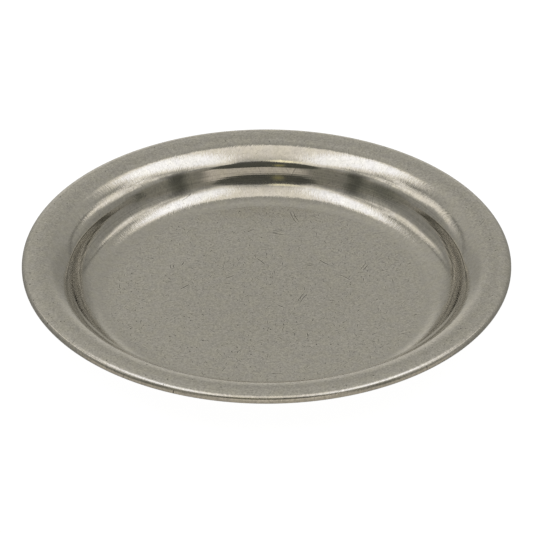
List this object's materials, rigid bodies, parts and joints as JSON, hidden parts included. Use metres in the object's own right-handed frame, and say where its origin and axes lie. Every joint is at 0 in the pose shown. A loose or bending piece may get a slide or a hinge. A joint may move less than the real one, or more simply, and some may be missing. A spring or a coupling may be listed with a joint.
{
  "type": "paten plate",
  "caption": "Shallow round communion plate in solid grey metal: a flat well, a steep wall and a broad rim that rolls into it and ends in a thick rounded edge.",
  "frame": {"origin": "centre of the flat base that the plate rests on", "axes": "+Z along the plate's axis, up out of the well; the plate is a figure of revolution, so +X and +Y are any two square directions in the base"},
  "size_m": [0.125, 0.125, 0.0137],
  "materials": {
    "metal": "satin grey metal like pewter, burnished on the roll and the inner corner, finely scratched on the floor of the well"
  },
  "bodies": {
    "root": {"dish": "metal"}
  },
  "joints": []
}
